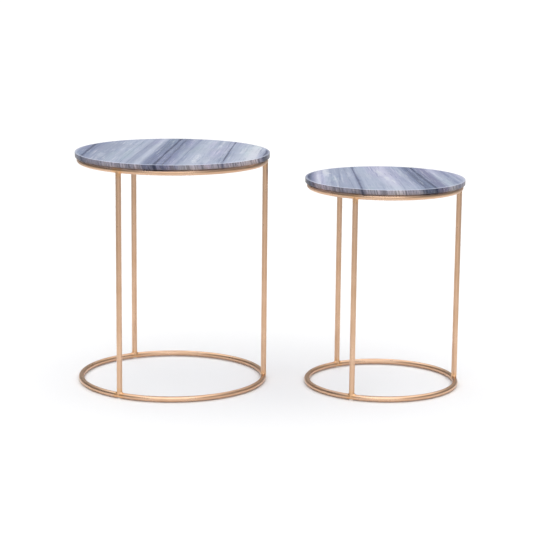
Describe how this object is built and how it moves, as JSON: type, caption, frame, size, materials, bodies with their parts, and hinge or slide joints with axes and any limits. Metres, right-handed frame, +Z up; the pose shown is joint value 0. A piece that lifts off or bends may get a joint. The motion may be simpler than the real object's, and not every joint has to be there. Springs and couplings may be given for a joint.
{
  "type": "nesting tables",
  "caption": "Pair of round side tables with thin marble tops on slim three-legged rod frames; the larger stands over the smaller.",
  "frame": {"origin": "centre of the pair's box, on the floor", "axes": "+X from the large table to the small one, +Y towards the back, +Z up"},
  "size_m": [0.9144, 0.4572, 0.55],
  "materials": {
    "stone": "polished blue-grey marble with diagonal bands and veins",
    "gold_frame": "satin champagne gold on steel rod",
    "zinc_steel": "zinc plated",
    "insert_brass": "turned",
    "spacer_rubber": "matt black",
    "glide_plastic": "translucent, satin"
  },
  "bodies": {
    "large_table": {"large_stone_top": "stone", "large_top_ring": "gold_frame", "large_base_ring": "gold_frame", "large_front_leg": "gold_frame", "large_rear_leg": "gold_frame", "large_side_leg": "gold_frame", "large_tab_1": "gold_frame", "large_tab_2": "gold_frame", "large_tab_3": "gold_frame", "large_spacer_1": "spacer_rubber", "large_spacer_2": "spacer_rubber", "large_spacer_3": "spacer_rubber", "large_washer_1": "zinc_steel", "large_washer_2": "zinc_steel", "large_washer_3": "zinc_steel", "large_screw_1": "zinc_steel", "large_screw_2": "zinc_steel", "large_screw_3": "zinc_steel", "large_insert_1": "insert_brass", "large_insert_2": "insert_brass", "large_insert_3": "insert_brass", "large_glide_1": "glide_plastic", "large_glide_2": "glide_plastic", "large_glide_3": "glide_plastic"},
    "small_table": {"small_stone_top": "stone", "small_top_ring": "gold_frame", "small_base_ring": "gold_frame", "small_front_leg": "gold_frame", "small_rear_leg": "gold_frame", "small_side_leg": "gold_frame", "small_tab_1": "gold_frame", "small_tab_2": "gold_frame", "small_tab_3": "gold_frame", "small_spacer_1": "spacer_rubber", "small_spacer_2": "spacer_rubber", "small_spacer_3": "spacer_rubber", "small_washer_1": "zinc_steel", "small_washer_2": "zinc_steel", "small_washer_3": "zinc_steel", "small_screw_1": "zinc_steel", "small_screw_2": "zinc_steel", "small_screw_3": "zinc_steel", "small_insert_1": "insert_brass", "small_insert_2": "insert_brass", "small_insert_3": "insert_brass", "small_glide_1": "glide_plastic", "small_glide_2": "glide_plastic", "small_glide_3": "glide_plastic"}
  },
  "joints": [
    {"name": "small_table_slide", "type": "slide", "parent": "large_table", "child": "small_table", "axis": [1, 0, 0], "range_m": [-0.087, 0.3]}
  ]
}
